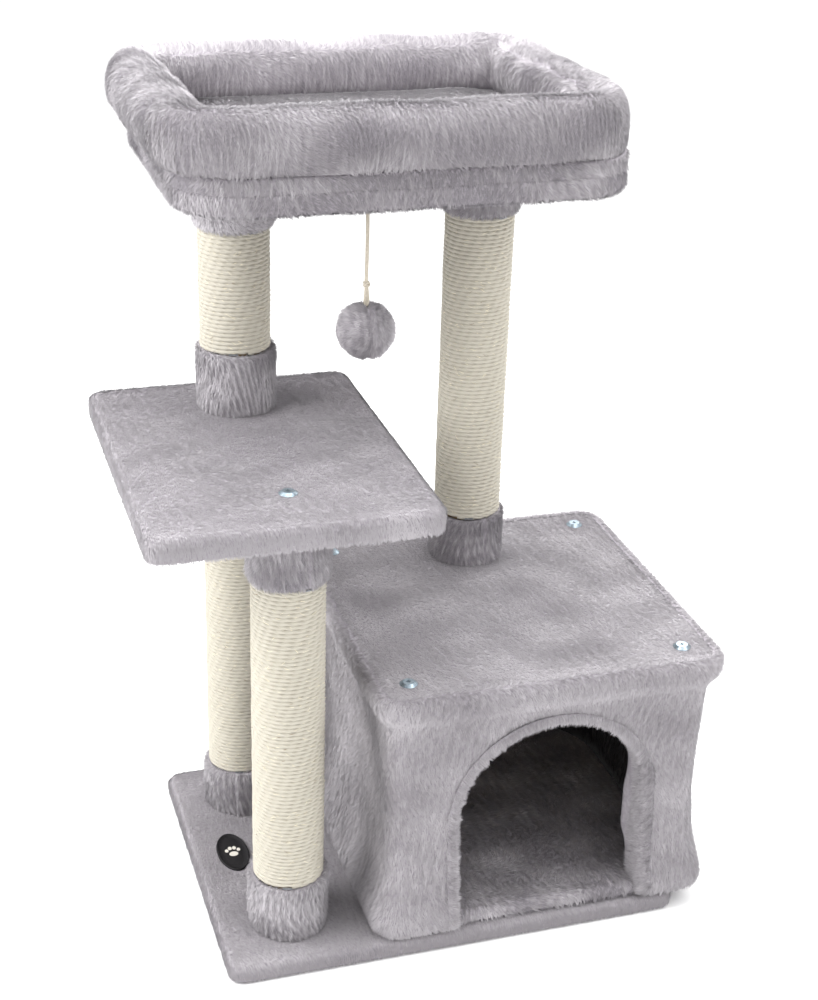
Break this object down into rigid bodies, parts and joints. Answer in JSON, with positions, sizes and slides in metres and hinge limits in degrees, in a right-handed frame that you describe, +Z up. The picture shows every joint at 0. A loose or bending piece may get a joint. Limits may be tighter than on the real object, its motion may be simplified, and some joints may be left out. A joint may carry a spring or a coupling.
{
  "type": "cat tree",
  "caption": "Plush-covered cat tree: base board, fabric house with an arched doorway, jump platform, padded top bed, rope-wound scratching posts and a hanging ball.",
  "frame": {"origin": "on the floor under the middle of the base board", "axes": "+Z up, +X along the base towards the house, +Y to the back"},
  "size_m": [0.577, 0.476, 0.84],
  "materials": {
    "grey_plush": "short soft pile",
    "lining_plush": "short pile, inner side",
    "sisal_rope": "twisted natural fibre",
    "paper_tube": "wound paper board",
    "particle_board": "raw board",
    "batten_wood": "planed pine",
    "backing_cloth": "felted backing sheet",
    "zinc_plated_steel": "bright zinc",
    "plain_steel": "zinc plated",
    "toy_cord": "soft braided elastic",
    "label_black": "woven patch"
  },
  "bodies": {
    "stand": {"base_backing": "backing_cloth", "base_board": "particle_board", "base_cover": "grey_plush", "base_post_bolts": "plain_steel", "bed_board": "particle_board", "bed_board_cover": "grey_plush", "bed_bolster": "grey_plush", "bed_bolts": "plain_steel", "bed_floor_pad": "grey_plush", "bed_skirt": "grey_plush", "bolt_washers": "plain_steel", "countersunk_screws": "zinc_plated_steel", "cup_washers": "zinc_plated_steel", "front_post_bottom_collar": "grey_plush", "front_post_end_plugs": "particle_board", "front_post_rope": "sisal_rope", "front_post_top_collar": "grey_plush", "front_post_tube": "paper_tube", "house_base_screws": "plain_steel", "house_batten_back_left": "batten_wood", "house_batten_back_right": "batten_wood", "house_batten_front_left": "batten_wood", "house_batten_front_right": "batten_wood", "house_batten_screws": "plain_steel", "house_door_binding": "grey_plush", "house_floor_backing": "backing_cloth", "house_floor_board": "particle_board", "house_floor_cover": "grey_plush", "house_lining": "lining_plush", "house_roof_board": "particle_board", "house_roof_panel": "grey_plush", "house_wall_cloth": "grey_plush", "oval_label": "label_black", "platform_backing": "backing_cloth", "platform_board": "particle_board", "platform_cover": "grey_plush", "platform_post_stud": "plain_steel", "rear_post_bottom_collar": "grey_plush", "rear_post_end_plugs": "particle_board", "rear_post_rope": "sisal_rope", "rear_post_top_collar": "grey_plush", "rear_post_tube": "paper_tube", "rope_staples": "plain_steel", "tall_post_bolt": "plain_steel", "tall_post_bottom_collar": "grey_plush", "tall_post_end_plugs": "particle_board", "tall_post_rope": "sisal_rope", "tall_post_top_collar": "grey_plush", "tall_post_tube": "paper_tube", "toy_staple": "plain_steel", "upper_post_bottom_collar": "grey_plush", "upper_post_end_plugs": "particle_board", "upper_post_rope": "sisal_rope", "upper_post_top_collar": "grey_plush", "upper_post_tube": "paper_tube"},
    "cord_loop": {"toy_cord_loop": "toy_cord"},
    "toy": {"toy_cord": "toy_cord", "toy_ball": "grey_plush"}
  },
  "joints": [
    {"name": "toy_swing_fore_aft", "type": "hinge", "parent": "stand", "child": "cord_loop", "pos_m": [-0.066, -0.015, 0.736], "axis": [1, 0, 0], "range_deg": [-45, 40]},
    {"name": "toy_swing_sideways", "type": "hinge", "parent": "cord_loop", "child": "toy", "pos_m": [-0.066, -0.015, 0.7305], "axis": [0, 1, 0], "range_deg": [-45, 45]}
  ]
}
